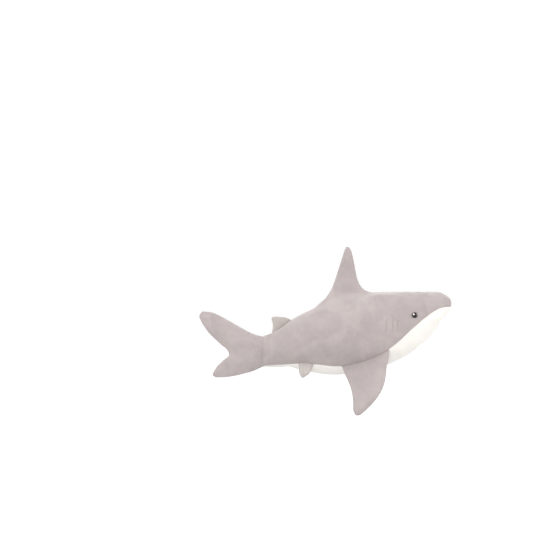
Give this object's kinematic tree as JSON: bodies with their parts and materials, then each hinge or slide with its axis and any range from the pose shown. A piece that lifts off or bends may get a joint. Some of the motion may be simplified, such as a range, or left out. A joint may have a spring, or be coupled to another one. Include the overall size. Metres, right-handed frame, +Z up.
{
  "type": "plush shark",
  "caption": "Stuffed shark in grey velour with a cream belly, button eyes, a tail that bends sideways and soft fins that fold at their roots.",
  "frame": {"origin": "on the back line at the root of the dorsal fin, where the hand closes round the fin and the fin folds; the shark is in the attitude in which it hangs from that hand, nose up", "axes": "+X towards the nose, +Y towards the shark's left, +Z up and out of the grip"},
  "size_m": [0.452, 0.147, 0.3033],
  "materials": {
    "velour_grey": "short-pile velour, warm grey, softly mottled nap",
    "velour_light_grey": "short-pile velour, lighter warm grey",
    "velour_cream": "short-pile velour, cream-white",
    "filling": "polyester fibre filling",
    "eye_black": "glossy black dome",
    "washer_white": "plain moulded plastic",
    "gill_thread": "embroidery thread, slightly darker than the velour"
  },
  "bodies": {
    "torso": {"side_panel_right": "velour_grey", "side_panel_left": "velour_grey", "belly_panel": "velour_cream", "body_filling": "filling", "eye_right": "eye_black", "eye_left": "eye_black", "eye_washer_right": "washer_white", "eye_washer_left": "washer_white", "gill_stitches_right": "gill_thread", "gill_stitches_left": "gill_thread"},
    "tail": {"tail_side_panel_right": "velour_grey", "tail_side_panel_left": "velour_grey", "tail_belly_panel": "velour_cream", "tail_filling": "filling"},
    "dorsal_fin": {"dorsal_fin_face_right": "velour_grey", "dorsal_fin_face_left": "velour_grey", "dorsal_fin_filling": "filling"},
    "second_dorsal_fin": {"second_dorsal_face_right": "velour_light_grey", "second_dorsal_face_left": "velour_light_grey", "second_dorsal_filling": "filling"},
    "pectoral_fin_right": {"pectoral_outer_face_right": "velour_grey", "pectoral_inner_face_right": "velour_grey", "pectoral_filling_right": "filling"},
    "pectoral_fin_left": {"pectoral_outer_face_left": "velour_grey", "pectoral_inner_face_left": "velour_grey", "pectoral_filling_left": "filling"},
    "pelvic_fin_right": {"pelvic_outer_face_right": "velour_light_grey", "pelvic_inner_face_right": "velour_light_grey", "pelvic_filling_right": "filling"},
    "pelvic_fin_left": {"pelvic_outer_face_left": "velour_light_grey", "pelvic_inner_face_left": "velour_light_grey", "pelvic_filling_left": "filling"},
    "caudal_fin": {"caudal_fin_face_right": "velour_grey", "caudal_fin_face_left": "velour_grey", "caudal_fin_filling": "filling"}
  },
  "joints": [
    {"name": "tail_bend", "type": "hinge", "parent": "torso", "child": "tail", "pos_m": [-0.092, 0, -0.085], "axis": [0, 0, 1], "range_deg": [-20, 20], "stiffness_Nm_per_rad": 0.5},
    {"name": "caudal_fin_swing", "type": "hinge", "parent": "tail", "child": "caudal_fin", "pos_m": [-0.1455, 0, -0.1], "axis": [0, 0, 1], "range_deg": [-35, 35], "stiffness_Nm_per_rad": 0.12},
    {"name": "dorsal_fin_fold", "type": "hinge", "parent": "torso", "child": "dorsal_fin", "pos_m": [0, 0, 0], "axis": [0.9712, 0, 0.2383], "range_deg": [-45, 45], "stiffness_Nm_per_rad": 0.08},
    {"name": "second_dorsal_fin_fold", "type": "hinge", "parent": "tail", "child": "second_dorsal_fin", "pos_m": [-0.111, 0, -0.05146], "axis": [0.8784, 0, 0.4779], "range_deg": [-40, 40], "stiffness_Nm_per_rad": 0.02},
    {"name": "pectoral_fin_right_flap", "type": "hinge", "parent": "torso", "child": "pectoral_fin_right", "pos_m": [0.002, -0.0345, -0.13], "axis": [-0.9359, 0.1276, -0.3282], "range_deg": [-12, 60], "stiffness_Nm_per_rad": 0.08},
    {"name": "pectoral_fin_left_flap", "type": "hinge", "parent": "torso", "child": "pectoral_fin_left", "pos_m": [0.002, 0.0345, -0.13], "axis": [0.9359, 0.1276, 0.3282], "range_deg": [-12, 60], "stiffness_Nm_per_rad": 0.08},
    {"name": "pelvic_fin_right_flap", "type": "hinge", "parent": "torso", "child": "pelvic_fin_right", "pos_m": [-0.08, -0.029, -0.1245], "axis": [-0.9615, 0.2747, 0], "range_deg": [-20, 40], "stiffness_Nm_per_rad": 0.02},
    {"name": "pelvic_fin_left_flap", "type": "hinge", "parent": "torso", "child": "pelvic_fin_left", "pos_m": [-0.08, 0.029, -0.1245], "axis": [0.9615, 0.2747, 0], "range_deg": [-20, 40], "stiffness_Nm_per_rad": 0.02}
  ]
}
